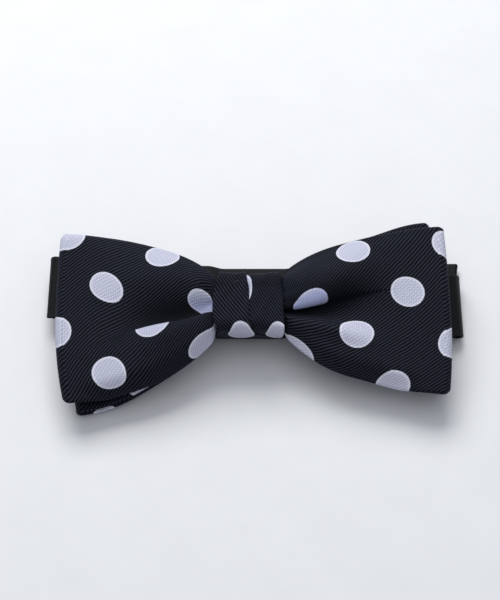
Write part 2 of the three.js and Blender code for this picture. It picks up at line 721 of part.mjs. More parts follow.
piece('neck_strap', neckStrap(), 'ribbon', onTable);
piece('strap_tail', strapTail(), 'ribbon', onTable);
piece('adjuster_slider', slider(), 'nickel', onTable);
piece('slider_bar_tack', barTack(SLIDER_X + SLIDER_TACK_OFFSET), 'thread', onTable);
piece('hook', hook(), 'nickel', onTable);
piece('eye', eye(), 'nickel', onTable);
piece('eye_bar_tack', barTack(EYE_X + EYE_TACK_OFFSET), 'thread', onTable);

// The origin is the middle of the bottom of the whole part's box.
part.updateMatrixWorld(true);
const box = new THREE.Box3().setFromObject(part, true);
onTable.position.set(-(box.min.x + box.max.x) / 2, -(box.min.y + box.max.y) / 2, -box.min.z);
part.updateMatrixWorld(true);

export default part;
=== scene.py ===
"""A pre-tied bow tie of dotted twill on a folded black ribbon strap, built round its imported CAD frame.

Lengths are in millimetres until a mesh is made. Bow pieces are shaped in the bow's own frame: u along
the bow, v across it and n out of its face; strap pieces are shaped in the row's frame.
"""

import math

import bpy
import numpy as np
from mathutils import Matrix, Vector


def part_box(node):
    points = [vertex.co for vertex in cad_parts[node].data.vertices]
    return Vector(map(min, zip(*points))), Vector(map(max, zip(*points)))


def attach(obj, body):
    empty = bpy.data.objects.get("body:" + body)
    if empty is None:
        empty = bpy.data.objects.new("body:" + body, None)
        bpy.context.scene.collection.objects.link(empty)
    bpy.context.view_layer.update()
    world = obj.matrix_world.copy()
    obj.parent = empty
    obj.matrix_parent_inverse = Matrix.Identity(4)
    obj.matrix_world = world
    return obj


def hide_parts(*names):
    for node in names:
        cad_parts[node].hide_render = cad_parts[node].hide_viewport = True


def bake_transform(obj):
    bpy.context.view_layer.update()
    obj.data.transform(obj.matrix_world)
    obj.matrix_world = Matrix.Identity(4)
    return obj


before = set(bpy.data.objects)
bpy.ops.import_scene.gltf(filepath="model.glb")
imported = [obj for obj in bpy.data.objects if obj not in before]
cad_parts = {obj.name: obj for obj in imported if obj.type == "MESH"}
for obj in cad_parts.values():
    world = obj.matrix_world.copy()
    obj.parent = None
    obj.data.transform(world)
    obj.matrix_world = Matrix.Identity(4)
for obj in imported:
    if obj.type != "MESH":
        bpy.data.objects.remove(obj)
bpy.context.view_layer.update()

MM = 0.001

# ------------------------------------------------------------------ where things are

BOW_TILT = math.radians(10)  # the far edge of the bow is propped up by the strap
KNOT_TO_ORIGIN = Vector((0, 0.15, -0.05)) * MM  # from the middle of the knot's box to the bow's origin
knot_low, knot_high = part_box("knot_wrap")
BOW_ORIGIN = (knot_low + knot_high) / 2 + KNOT_TO_ORIGIN

STRAP_ORIGIN = Vector((-0.257, 1.872, 0)) * MM  # of the frame that the strap's route is written in

# ------------------------------------------------------------------ the bows

WAIST_HALF_LENGTH = 9.7
WAIST_HALF_HEIGHT = 7.1
WING_FLARE = 20.3
WING_FLARE_LENGTH = 17
WING_FLARE_POWER = 0.85
WING_SAG = -3
WING_SAG_LENGTH = 14
WING_DROOP = 2.4
WING_DROOP_LENGTH = 48
WING_DROOP_FAR = 0.35

PLY_HALF = 0.7  # half of two plies of cloth and their canvas
CLOTH_WALL = 0.32
CANVAS_HALF = 0.2
SLIT = 0.8  # between a band's two ends, at the middle of its back
HALF_CLOTH = 26.4  # half the width of a band laid flat
EDGE_ROUND_OUTSIDE = 0.9  # how far in from a ply's folded edge its cloth and its hollow thicken
EDGE_ROUND_INSIDE = 1.6
NEAR_RIM_DROOP = 3.0
FAR_RIM_DROOP = 0.9
RIM_WIDTH = 6
CORNER_PINCH = 0.45  # the share of the gap between two plies that closes at a wing's outer corners

DOT_RADIUS = 4.9
DOT_PITCH = 28.2
DOT_ROW = 15.5
TWILL_PITCH = 0.88
TWILL_ANGLE = math.radians(46)  # of the ribs from the length of the cloth
TWILL_YARN_PITCH = 0.42
DOT_WEAVE_PITCH = 0.5

FRONT_BOW = {
    "reach": {-1: 55.7, 1: 58.1},
    "pull_in": {-1: (0.8, 2.8), 1: (0.4, 1.9)},  # of each wing's far and near outer corners
    "turn": 1,
    "front": (3.55, 4.65),  # n of the front ply at the waist and at the outer folds
    "back": (0.75, 1.25),
    "is_front": True,
    "dot": {-1: (-55.7, -5.3), 1: (58.75, -10.9)},  # a printed dot's centre on each wing
}
BACK_BOW = {
    "reach": {-1: 52.5, 1: 55.5},
    "pull_in": {-1: (0.6, 2.0), 1: (0.3, 0.6)},
    "turn": 2.6,
    "front": (-1.25, -1.25),
    "back": (-3.55, -4.65),
    "is_front": False,
    "dot": {-1: (-33.0, -22.7), 1: (17.2, 12.0)},
}


def smooth(t):
    s = np.clip(t, 0, 1)
    return s * s * (3 - 2 * s)


def mix(a, b, t):
    return a + (b - a) * t


def bell(x, length):
    return np.exp(-(x / length) ** 2)


def from_knot(u):
    return np.maximum(0, np.abs(u) - WAIST_HALF_LENGTH)


def wing_half_height(u):
    reach = (from_knot(u) / WING_FLARE_LENGTH) ** WING_FLARE_POWER
    return WAIST_HALF_HEIGHT + WING_FLARE * (1 - np.exp(-reach))


def wing_sag(u):
    return WING_SAG * (1 - np.exp(-from_knot(u) / WING_SAG_LENGTH))


def edge_shift(side, d, front, is_front):
    """How far a ply's near and far edges lie from the plain outline, in millimetres across the bow."""
    out = float(smooth(d / 1.5))
    inner = 1 - float(smooth((d - 46) / 10))
    if is_front:
        if side < 0:
            near = -1.0 - 2.4 * math.exp(-d / 4) - 0.4 * float(smooth((d - 26) / 8))
            far = 1.3 * math.exp(-d / 2.5) - 0.3 * float(bell(d - 17, 9))
        else:
            near = -2.2 * math.exp(-d / 3.2) + 0.7 * float(bell(d - 24, 9))
            near -= 0.3 * float(smooth((d - 26) / 18))
            far = 0.9 * math.exp(-d / 3) - 0.4 * float(bell(d - 21, 7))
            far += 0.4 * float(smooth((d - 30) / 14))
        near = near + (1 - front) * 2.6 * inner
        far = far - (1 - front) * 0.6 * inner
        return near * out + (1 - front) * 1.7 * (1 - out), far * out
    if side < 0:
        return mix(1.5, -1.4, float(smooth((d - 13) / 24))), -0.6 * out
    return 2.4 - 1.6 * float(smooth((d - 30) / 14)), 0.6 * out + 2.6 * float(smooth((d - 24) / 20))


def wing_droop(u, across):
    outward = (from_knot(u) / WING_DROOP_LENGTH) ** 2
    towards_near = ((1 - across) / 2) ** 2
    return -WING_DROOP * outward * mix(WING_DROOP_FAR, 1, towards_near)


WAIST_STEPS = 14
WING_STEPS = 84
FOLD_STEPS = 16


def band_stations(bow):
    """Places along a band, from its slit out to the right fold, over the front, and back to the slit.

    Each row is u, n, how far it is round to the front (0 to 1), the wing's side and the run of cloth.
    """
    halves = {}
    for side in (1, -1):
        reach = bow["reach"][side]
        radius = (bow["front"][1] - bow["back"][1]) / 2
        middle = (bow["front"][1] + bow["back"][1]) / 2
        end = reach - radius - PLY_HALF
        waist = np.linspace(SLIT / 2, WAIST_HALF_LENGTH, WAIST_STEPS, endpoint=False)
        wing = WAIST_HALF_LENGTH + (end - WAIST_HALF_LENGTH) * np.linspace(0, 1, WING_STEPS) ** 1.15
        u = np.concatenate([waist, wing])
        outward = smooth(from_knot(u) / end)
        back = [(x, mix(*bow["back"], t), 0.0, side, 2 * reach - x) for x, t in zip(u, outward)]
        front = [(x, mix(*bow["front"], t), 1.0, side, x) for x, t in zip(u, outward)]
        front[0] = (0.0, bow["front"][0], 1.0, side, 0.0)
        fold = []
        for k in range(1, FOLD_STEPS):
            angle = math.pi * (k / FOLD_STEPS - 0.5)
            run = reach - radius * angle
            fold.append((end + radius * math.cos(angle), middle + radius * math.sin(angle),
                         0.5 + 0.5 * math.sin(angle), side, run))
        halves[side] = back + fold + front[::-1]
    return np.array(halves[1] + halves[-1][::-1][1:])


def wing_folds(side, d, folded):
    """The deep fold across one wing: its wall's place and half width, the rise at each side, and its curl."""
    rise = float(smooth((d + 2.5) / 6))
    if side < 0:
        fade = 1 - float(smooth((d - 12) / 16))
        wall_half = mix(1.1, 3.6, float(smooth((d - 4) / 20)))
        wall = -5.3 - 0.33 * d + wall_half
        near, far = 2.7 * fade * rise, -1.5 * fade * rise
        curl = 0.6 * float(1 - smooth(d / 12))
    else:
        fade = 1 - float(smooth((d - 10) / 24))
        wall_half = mix(1.0, 5.5, float(smooth((d - 6) / 20)))
        wall = -2.9 + 0.09 * d + 0.5 * wall_half
        near, far = -1.7 * fade * rise, 2.2 * fade * rise
        curl = 2.2 * float(1 - smooth((d - 2) / 12)) * float(smooth((d + 1) / 3))
    return wall, wall_half, near * folded, far * folded, curl * folded


LOW_STEPS = 26
WALL_STEPS = 18
HIGH_STEPS = 28


def band_surface(bow):
    """The middle surface of a band and its cloth coordinates, as grids of stations by steps across."""
    centre, cloth = [], []
    for u, n, front, side, run in band_stations(bow):
        d = float(from_knot(u))
        half, sag = float(wing_half_height(u)), float(wing_sag(u))
        near_shift, far_shift = edge_shift(side, d, front, bow["is_front"])
        v_low, v_high = sag - half + near_shift, sag + half + far_shift
        folded = front ** 4 * bow["is_front"]
        wall, wall_half, near, far, curl = wing_folds(side, d, folded)
        low = v_low + (wall - wall_half - v_low) * np.linspace(0, 1, LOW_STEPS, endpoint=False) ** 1.2
        q = np.linspace(-1, 1, WALL_STEPS, endpoint=False)
        high = np.linspace(wall + wall_half, v_high, HIGH_STEPS)
        v = np.concatenate([low, wall + wall_half * ((1 + curl) * q ** 3 - curl * q), high])
        lift = np.concatenate([near * bell(low - (wall - wall_half), 5.5),
                               mix(near, far, smooth((q + 1) / 2)),
                               far * bell(high - (wall + wall_half), 7 if side < 0 else 9)])
        across = np.clip((v - sag) / half, -1, 1)
        lift = lift + folded * wing_swell(side, d, v, across)
        lift = lift + gathers(side, d, across, front)
        lift = lift - folded * rim_droop(d, v - v_low, NEAR_RIM_DROOP)
        lift = lift - folded * rim_droop(d, v_high - v, FAR_RIM_DROOP)
        middle = (bow["front"][1] + bow["back"][1]) / 2
        lift = lift + (middle - n) * corner_pinch(d, across)
        height = n + lift + wing_droop(u, across)
        far_pull, near_pull = bow["pull_in"][int(side)]
        pull = np.where(across > 0, far_pull, near_pull) * across ** 2 * smooth(d / 40)
        x = side * (u - pull)
        centre.append(np.stack([x, v, height + 0 * v], -1))
        printed = cloth_across(v, height, side, d, run, bow)
        # The third cloth coordinate carries painted shade, deepest in the wing's main fold.
        printed[:, 2] = folded * wing_fold_shade(side, d, v)
        cloth.append(printed)
    return np.array(centre), np.array(cloth)


def corner_pinch(d, across):
    """How nearly the plies are pressed together towards a wing's outer corners, from 0 to 1."""
    return CORNER_PINCH * smooth((d - 34) / 12) * np.abs(across) ** 3


def rim_droop(d, inward, depth):
    """How far the front ply rolls down over its edge, to close over the plies behind."""
    return depth * (1 - smooth(inward / RIM_WIDTH)) ** 1.5 * (1 - smooth((d - 32) / 12))


def wing_swell(side, d, v, across):
    """The broad rounding of a front wing's lobes."""
    outward = smooth((d + 2) / 8) * (1 - smooth((d - 14) / 30))
    swell = 2.4 * bell(across - 0.45, 0.36) * outward
    if side < 0:
        return swell + 0.9 * bell(across + 0.7, 0.3) * outward
    crest = -5.4 - 0.29 * d
    return swell + 1.9 * bell(v - crest, 2.7) * smooth((d + 3) / 6) * (1 - smooth((d - 12) / 20))


def wing_fold_shade(side, d, v):
    """How deep in the wing's main fold a point lies, from 0 to 1: the strength of the painted shade there,
    which darkens the ribs and turns the dots blue-grey.
    """
    if side < 0:
        return bell(v + 1.0 + 0.16 * d, 2.8 + 0.09 * d) * (1 - smooth((d - 14) / 18))
    return bell(v + 3.9 - 0.4 * d + 0.004 * d * d, 1.8 + 0.13 * d) * (1 - smooth((d - 16) / 18))


def gathers(side, d, across, front):
    """Small pleats that radiate from the waist and die away."""
    near = math.exp(-d / 7)
    waves = np.sin(across * 11 + side * 0.8) + 0.6 * np.sin(across * 19 - 0.5 + side)
    soft = 0.18 * np.sin(across * 3.1 + d * 0.11 + side) * smooth(d / 12)
    return (0.17 * near * waves + soft) * (0.4 + 0.6 * front)


def cloth_across(v, height, side, d, run, bow):
    """Cloth coordinates of one line across a band, in millimetres from a printed dot's centre.

    The cloth keeps its length up from the near edge and down from the far edge, and what is left over
    lies in the wall of the fold. Near the knot some of it has slipped round the edges.
    """
    arc = np.concatenate([[0], np.cumsum(np.hypot(np.diff(v), np.diff(height)))])
    near_slip, far_slip = cloth_slip(side, d) if bow["is_front"] else (0, 0)
    arc = arc * (1 + PLEATED * math.exp(-d / 18))
    left_over = 2 * HALF_CLOTH - near_slip - far_slip - arc[-1]
    in_wall = np.clip((np.arange(len(v)) - LOW_STEPS) / WALL_STEPS, 0, 1)
    share = mix(in_wall, arc / arc[-1], float(smooth((d - (26 if side < 0 else 16)) / 14)))
    place = -HALF_CLOTH + near_slip + arc + left_over * share
    flow = cloth_flow(side, place) * min(1, run / 12)
    dot_u, dot_v = bow["dot"][int(side)]
    return np.stack([side * run - flow - dot_u, place - dot_v, 0 * v], -1)


PLEATED = 0.4  # the share of cloth that the small pleats at the waist take up


def cloth_slip(side, d):
    """How much cloth has slipped round the near and the far edge."""
    if side < 0:
        near = 2.7 * math.exp(-d / 8) - 2.8 * float(bell(d - 32, 8)) + 0.7 * float(bell(d - 20, 6))
        return near, -4.0 * float(bell(d - 21, 12))
    near = 1.2 * math.exp(-d / 5) + 0.8 * float(bell(d - 21, 7)) - 1.3 * float(bell(d - 31, 6))
    return near, 1.3 * float(bell(d - 25, 10)) - 0.8 * math.exp(-d / 8)


def cloth_flow(side, place):
    """How far the weave is pulled along the bow at each place across it."""
    if side < 0:
        return 0.0021 * (place + 8) ** 2
    return 1 - 0.0040 * (place - 5) ** 2


def normals(grid):
    along = np.gradient(grid, axis=0)
    across = np.gradient(grid, axis=1)
    normal = np.cross(across, along)
    return normal / np.maximum(np.linalg.norm(normal, axis=-1, keepdims=True), 1e-9)


def edge_profile(grid, radius):
    """How thick a ply is towards its two folded edges, as a share of its full thickness."""
    step = np.linalg.norm(np.diff(grid, axis=1), axis=-1)
    arc = np.concatenate([np.zeros((len(grid), 1)), np.cumsum(step, axis=1)], axis=1)
    inward = np.minimum(arc, arc[:, -1:] - arc)
    rest = np.clip(1 - inward / radius, 0, 1)
    return np.sqrt(1 - 0.97 * rest ** 2)


def turned(grid, degrees):
    """A grid turned in the plane of the bow."""
    c, s = math.cos(math.radians(degrees)), math.sin(math.radians(degrees))
    u, v, n = grid[..., 0], grid[..., 1], grid[..., 2]
    return np.stack([u * c - v * s, u * s + v * c, n], -1)


def from_bow(points):
    """Bow frame, millimetres, to row frame, metres."""
    c, s = math.cos(BOW_TILT), math.sin(BOW_TILT)
    u, v, n = points[..., 0], points[..., 1], points[..., 2]
    return np.stack([u, v * c - n * s, v * s + n * c], -1) * MM + np.array(BOW_ORIGIN)


def from_strap(points):
    """Strap frame, millimetres, to row frame, metres."""
    return np.asarray(points) * MM + np.array(STRAP_ORIGIN)


# ------------------------------------------------------------------ meshes

def ring_faces(count, size, first=0, flip=False):
    i, j = np.meshgrid(np.arange(count - 1), np.arange(size), indexing="ij")
    a = first + i * size + j
    b = first + i * size + (j + 1) % size
    quads = np.stack([a, b, b + size, a + size], -1).reshape(-1, 4)
    return quads[:, ::-1] if flip else quads


def cap_faces(first, size, flip):
    """Closes a section that runs out along one side and back along the other."""
    j = np.arange(size // 2 - 1)
    quads = first + np.stack([j, j + 1, size - 2 - j, size - 1 - j], -1)
    return quads[:, ::-1] if flip else quads


def rim_faces(outer_first, inner_first, size, flip):
    j = np.arange(size)
    k = (j + 1) % size
    quads = np.stack([outer_first + j, outer_first + k, inner_first + k, inner_first + j], -1)
    return quads[:, ::-1] if flip else quads


def mesh_piece(name, points, faces, cloth=None):
    """A smooth-shaded mesh whose faces point out, with its cloth coordinates as an attribute."""
    mesh = bpy.data.meshes.new(name)
    mesh.from_pydata(points.reshape(-1, 3).tolist(), [], faces.tolist())
    if signed_volume(mesh) < 0:
        mesh.flip_normals()
    if cloth is not None:
        attribute = mesh.attributes.new("cloth", "FLOAT_VECTOR", "POINT")
        attribute.data.foreach_set("vector", cloth.astype(np.float32).ravel())
    mesh.polygons.foreach_set("use_smooth", [True] * len(mesh.polygons))
    mesh.update()
    piece = bpy.data.objects.new(name, mesh)
    bpy.context.scene.collection.objects.link(piece)
    return piece


def signed_volume(mesh):
    points = np.zeros(len(mesh.vertices) * 3)
    mesh.vertices.foreach_get("co", points)
    points = points.reshape(-1, 3)
    mesh.calc_loop_triangles()
    corners = np.zeros(len(mesh.loop_triangles) * 3, dtype=np.int32)
    mesh.loop_triangles.foreach_get("vertices", corners)
    a, b, c = (points[corners[k::3]] for k in range(3))
    return float((a * np.cross(b, c)).sum())


def loft_piece(name, rings, cloth=None):
    """A closed solid through rings that each run out along one side and back along the other."""
    count, size = rings.shape[:2]
    faces = np.concatenate([ring_faces(count, size), cap_faces(0, size, True),
                            cap_faces((count - 1) * size, size, False)])
    return mesh_piece(name, rings, faces, cloth)


def tube_piece(name, outer, inner, cloth):
    """A tube with a wall and a rim at each open end."""
    count, size = outer.shape[:2]
    inner_first = count * size
    last = (count - 1) * size
    faces = np.concatenate([ring_faces(count, size), ring_faces(count, size, inner_first, True),
                            rim_faces(0, inner_first, size, True),
                            rim_faces(last, inner_first + last, size, False)])
    return mesh_piece(name, np.concatenate([outer, inner]), faces, np.concatenate([cloth, cloth]))


def two_sides(centre, normal, half):
    """Rings over the outside and back along the inside of a middle surface."""
    outside = centre + normal * half[..., None]
    inside = centre - normal * half[..., None]
    return np.concatenate([outside, inside[:, ::-1]], axis=1)


# ------------------------------------------------------------------ node materials

class Nodes:
    """A short way to write a material's maths."""

    def __init__(self, name):
        self.material = bpy.data.materials.new(name)
        self.material.use_nodes = True
        self.tree = self.material.node_tree
        self.shader = self.tree.nodes["Principled BSDF"]

    def node(self, kind, **settings):
        made = self.tree.nodes.new(kind)
        for key, value in settings.items():
            setattr(made, key, value)
        return made

    def link(self, value, socket):
        if isinstance(value, (int, float, tuple)):
            socket.default_value = value
        else:
            self.tree.links.new(value, socket)

    def math(self, operation, a, b=0.0, c=0.0):
        made = self.node("ShaderNodeMath", operation=operation)
        for value, socket in zip((a, b, c), made.inputs):
            self.link(value, socket)
        return made.outputs[0]

    def split(self, vector):
        made = self.node("ShaderNodeSeparateXYZ")
        self.link(vector, made.inputs[0])
        return made.outputs

    def join(self, x, y, z=0.0):
        made = self.node("ShaderNodeCombineXYZ")
        for value, socket in zip((x, y, z), made.inputs):
            self.link(value, socket)
        return made.outputs[0]

    def attribute(self, name):
        return self.node("ShaderNodeAttribute", attribute_name=name).outputs["Vector"]

    def noise(self, vector, scale, detail=2.0, roughness=0.5):
        made = self.node("ShaderNodeTexNoise")
        self.link(vector, made.inputs["Vector"])
        made.inputs["Scale"].default_value = scale
        made.inputs["Detail"].default_value = detail
        made.inputs["Roughness"].default_value = roughness
        return made.outputs["Fac"]

    def ramp(self, value, low, high):
        made = self.node("ShaderNodeMapRange", interpolation_type="SMOOTHSTEP")
        self.link(value, made.inputs["Value"])
        made.inputs["From Min"].default_value = low
        made.inputs["From Max"].default_value = high
        return made.outputs["Result"]

    def blend(self, factor, a, b):
        made = self.node("ShaderNodeMix", data_type="RGBA")
        self.link(factor, made.inputs["Factor"])
        self.link(a, made.inputs[6])
        self.link(b, made.inputs[7])
        return made.outputs[2]

    def wave(self, value, pitch):
        """A ridge from 0 to 1 for each pitch of value."""
        turn = self.math("MULTIPLY", value, 2 * math.pi / pitch)
        return self.math("MULTIPLY_ADD", self.math("SINE", turn), 0.5, 0.5)

    def bump(self, height, distance, strength=1.0):
        made = self.node("ShaderNodeBump")
        made.inputs["Strength"].default_value = strength
        made.inputs["Distance"].default_value = distance
        self.link(height, made.inputs["Height"])
        return made.outputs[0]

    def finish(self, **sockets):
        for key, value in sockets.items():
            self.link(value, self.shader.inputs[key.replace("_", " ")])
        return self.material


def colour(r, g, b):
    """An sRGB colour, 0 to 255, as a linear one."""
    def linear(c):
        c = c / 255
        return c / 12.92 if c <= 0.04045 else ((c + 0.055) / 1.055) ** 2.4
    return (linear(r), linear(g), linear(b), 1.0)


def dotted_twill(name):
    """Blue-black twill with woven pale dots and painted sheen on its ribs; the cloth attribute is millimetres
    from a dot's centre, with painted shade in the folds as its third part.
    """
    m = Nodes(name)
    cloth = m.attribute("cloth")
    u, v, fold_shade = m.split(cloth)
    row = m.math("ROUND", m.math("DIVIDE", v, DOT_ROW))
    odd = m.math("ABSOLUTE", m.math("MODULO", row, 2.0))
    shifted = m.math("MULTIPLY_ADD", odd, -DOT_PITCH / 2, u)
    column = m.math("ROUND", m.math("DIVIDE", shifted, DOT_PITCH))
    du = m.math("MULTIPLY_ADD", column, -DOT_PITCH, shifted)
    dv = m.math("MULTIPLY_ADD", row, -DOT_ROW, v)
    squares = m.math("MULTIPLY_ADD", du, du, m.math("MULTIPLY", dv, dv))
    distance = m.math("SQRT", squares)
    flat_place = m.join(u, v)
    ragged = m.math("MULTIPLY_ADD", m.noise(flat_place, 2.6, 1), 0.3, m.math("SUBTRACT", distance, 0.15))
    in_dot = m.ramp(ragged, DOT_RADIUS + 0.1, DOT_RADIUS - 0.1)
    rim = m.ramp(ragged, DOT_RADIUS - 0.9, DOT_RADIUS - 0.25)

    c, s = math.cos(TWILL_ANGLE), math.sin(TWILL_ANGLE)
    slant = m.math("MULTIPLY_ADD", u, -s, m.math("MULTIPLY", v, c))
    along = m.math("MULTIPLY_ADD", u, c, m.math("MULTIPLY", v, s))
    waver = m.math("MULTIPLY_ADD", m.noise(flat_place, 0.35, 2), 0.5, slant)
    rib = m.wave(waver, TWILL_PITCH)
    yarn = m.wave(m.math("MULTIPLY_ADD", slant, 0.6, along), TWILL_YARN_PITCH)
    fleck = m.noise(m.join(m.math("MULTIPLY", slant, 1.2), m.math("MULTIPLY", along, 0.45)), 2.2, 3, 0.7)
    check = m.math("MULTIPLY", m.wave(u, DOT_WEAVE_PITCH), m.wave(v, DOT_WEAVE_PITCH))

    ridge = m.math("MULTIPLY", rib, m.math("MULTIPLY_ADD", yarn, 0.35, 0.65))
    thin = m.math("POWER", ridge, 2.0)
    # Painted shade: the ribs darken where the cloth lies deep in a fold.
    lit = m.math("MULTIPLY_ADD", fold_shade, -0.85, 1.0)
    shade = m.math("MULTIPLY", m.math("MULTIPLY", thin, lit), m.math("MULTIPLY_ADD", fleck, 1.3, 0.45))
    # The ribs' lighter colour is painted sheen, standing in for the highlights the ribs catch; the rib
    # pattern itself is the weave's own.
    ground = m.blend(shade, colour(0, 0, 2), colour(50, 55, 70))
    pale = m.blend(m.math("MULTIPLY_ADD", check, 0.75, m.math("MULTIPLY", rib, 0.25)),
                   colour(158, 160, 182), colour(226, 227, 236))
    pale = m.blend(m.math("MULTIPLY", rim, 0.4), pale, colour(234, 234, 243))
    # Painted shade: the dots turn blue-grey deep in a fold.
    pale = m.blend(m.math("MULTIPLY", fold_shade, 0.55), pale, colour(112, 122, 176))
    base = m.blend(in_dot, ground, pale)

    rough = m.math("MULTIPLY_ADD", fleck, 0.2, m.math("MULTIPLY_ADD", in_dot, 0.08, 0.6))
    rib_share = m.math("MULTIPLY_ADD", in_dot, -0.7, 1.0)
    raised = m.math("MULTIPLY", in_dot, m.math("MULTIPLY", check, 0.3))
    height = m.math("MULTIPLY_ADD", ridge, rib_share, raised)
    height = m.math("MULTIPLY_ADD", in_dot, 0.35, height)
    bumped = m.bump(height, 0.16 * MM, 0.9)
    return m.finish(Base_Color=base, Roughness=rough, Normal=bumped, Sheen_Weight=0.03,
                    Sheen_Roughness=0.45, Sheen_Tint=colour(170, 190, 240), Specular_IOR_Level=0.08)


RIBBON_WEFT_PITCH = 0.55
RIBBON_WARP_PITCH = 0.34


def black_ribbon(name):
    """Ribbed black ribbon: cloth u runs along it and v across, in millimetres."""
    m = Nodes(name)
    cloth = m.attribute("cloth")
    u, v, _ = m.split(cloth)
    weft = m.wave(u, RIBBON_WEFT_PITCH)
    warp = m.wave(v, RIBBON_WARP_PITCH)
    fleck = m.noise(m.join(m.math("MULTIPLY", u, 0.5), m.math("MULTIPLY", v, 2.0)), 1.6, 3, 0.6)
    edge = m.ramp(m.math("ABSOLUTE", v), 8.9, 9.2)
    woven = m.math("MULTIPLY", weft, m.math("MULTIPLY_ADD", warp, 0.4, 0.6))
    shade = m.math("MULTIPLY_ADD", woven, 0.55, m.math("MULTIPLY", fleck, 0.45))
    base = m.blend(shade, colour(1, 1, 2), colour(17, 18, 22))
    base = m.blend(m.math("MULTIPLY", edge, 0.35), base, colour(30, 31, 36))
    rough = m.math("MULTIPLY_ADD", fleck, 0.25, 0.42)
    bumped = m.bump(m.math("MULTIPLY_ADD", edge, 0.4, woven), 0.08 * MM, 0.8)
    return m.finish(Base_Color=base, Roughness=rough, Normal=bumped, Sheen_Weight=0.05,
                    Sheen_Roughness=0.4, Specular_IOR_Level=0.13)


CANVAS_PITCH = 0.9


def woven_canvas(name):
    """Undyed canvas: cloth u runs along it and v across, in millimetres."""
    m = Nodes(name)
    cloth = m.attribute("cloth")
    u, v, _ = m.split(cloth)
    over = m.math("MULTIPLY", m.wave(u, CANVAS_PITCH), m.wave(v, CANVAS_PITCH))
    slub = m.noise(m.join(m.math("MULTIPLY", u, 0.3), v), 1.2, 3, 0.6)
    base = m.blend(m.math("MULTIPLY_ADD", slub, 0.5, m.math("MULTIPLY", over, 0.5)),
                   colour(190, 182, 160), colour(236, 230, 214))
    rough = m.math("MULTIPLY_ADD", slub, 0.1, 0.86)
    return m.finish(Base_Color=base, Roughness=rough, Normal=m.bump(over, 0.12 * MM))


def spun_thread(name):
    """Dark sewing thread with a little fuzz."""
    m = Nodes(name)
    place = m.node("ShaderNodeTexCoord").outputs["Object"]
    fuzz = m.noise(place, 9000, 3, 0.7)
    base = m.blend(fuzz, colour(14, 15, 19), colour(52, 54, 62))
    rough = m.math("MULTIPLY_ADD", fuzz, 0.2, 0.6)
    return m.finish(Base_Color=base, Roughness=rough, Normal=m.bump(fuzz, 0.03 * MM), Sheen_Weight=0.2)


def plated_nickel(name):
    """Barrel-plated nickel with fine scuffs and slightly dulled patches."""
    m = Nodes(name)
    place = m.node("ShaderNodeTexCoord").outputs["Object"]
    patch = m.noise(place, 260, 3, 0.6)
    x, y, z = m.split(place)
    scuff = m.noise(m.join(m.math("MULTIPLY", x, 9), y, m.math("MULTIPLY", z, 3)), 900, 4, 0.7)
    base = m.blend(patch, colour(176, 174, 168), colour(206, 205, 201))
    rough = m.math("MULTIPLY_ADD", scuff, 0.22, m.math("MULTIPLY_ADD", patch, 0.12, 0.1))
    return m.finish(Base_Color=base, Roughness=rough, Metallic=1.0, Normal=m.bump(scuff, 0.01 * MM, 0.5))


def pale_floor(name):
    m = Nodes(name)
    place = m.node("ShaderNodeTexCoord").outputs["Object"]
    grain = m.noise(place, 60, 4, 0.6)
    base = m.blend(grain, colour(216, 217, 219), colour(224, 225, 227))
    return m.finish(Base_Color=base, Roughness=0.85, Normal=m.bump(grain, 0.05 * MM, 0.3))


TWILL = dotted_twill("dotted_twill")
RIBBON = black_ribbon("ribbon")
CANVAS = woven_canvas("canvas")
THREAD = spun_thread("thread")
NICKEL = plated_nickel("nickel")


def dress(piece, material, body, slot, *nodes):
    """Gives a piece its material and its body and hides the CAD nodes that it stands for; its slot is not
    used.
    """
    piece.data.materials.append(material)
    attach(piece, body)
    if nodes:
        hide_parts(*nodes)
    return piece


# ------------------------------------------------------------------ camera, floor and lights

CAMERA_ELEVATION = math.radians(57)
CAMERA_DISTANCE = 0.42
CAMERA_LENS = 87
AIM_RIGHT = 0.29 * MM
AIM_UP = 1.74 * MM
FLOOR_SIZE = 3
WINDOW_LIGHT = ((-0.12, 0.5, 0.62), (0.6, 0.45), 6.2)  # place and size in metres, watts
CEILING_LIGHT = ((0.05, -0.1, 0.9), (0.9, 0.9), 2.0)
SKY_COLOUR = (0.86, 0.91, 1.0, 1)
SKY_STRENGTH = 0.38


def add_camera():
    camera = bpy.data.objects.new("camera", bpy.data.cameras.new("camera"))
    bpy.context.scene.collection.objects.link(camera)
    c, s = math.cos(CAMERA_ELEVATION), math.sin(CAMERA_ELEVATION)
    aim = BOW_ORIGIN + Vector((AIM_RIGHT, 0, 0)) + Vector((0, s, c)) * AIM_UP
    back = Vector((0, -c, s))
    camera.location = aim + back * CAMERA_DISTANCE
    camera.rotation_euler = back.to_track_quat("Z", "Y").to_euler()
    camera.data.sensor_width = 36
    camera.data.lens = CAMERA_LENS
    camera.data.clip_start = 0.01
    bpy.context.scene.camera = camera


def add_area_light(name, place, size, watts):
    """A soft rectangular light that shines at the middle of the object."""
    light = bpy.data.lights.new(name, "AREA")
    light.shape = "RECTANGLE"
    light.size, light.size_y = size
    light.energy = watts
    lamp = bpy.data.objects.new(name, light)
    lamp.location = place
    lamp.rotation_euler = Vector(place).to_track_quat("Z", "Y").to_euler()
    bpy.context.scene.collection.objects.link(lamp)


def add_studio():
    bpy.ops.mesh.primitive_plane_add(size=FLOOR_SIZE)
    floor = bpy.context.object
    floor.name = "floor"
    floor.data.materials.append(pale_floor("floor"))
    add_area_light("window", *WINDOW_LIGHT)
    add_area_light("ceiling", *CEILING_LIGHT)
    world = bpy.data.worlds.new("studio")
    world.use_nodes = True
    background = world.node_tree.nodes["Background"]
    background.inputs["Color"].default_value = SKY_COLOUR
    background.inputs["Strength"].default_value = SKY_STRENGTH
    bpy.context.scene.world = world
    bpy.context.scene.view_settings.view_transform = "Standard"


add_camera()
add_studio()


# ------------------------------------------------------------------ the two bows

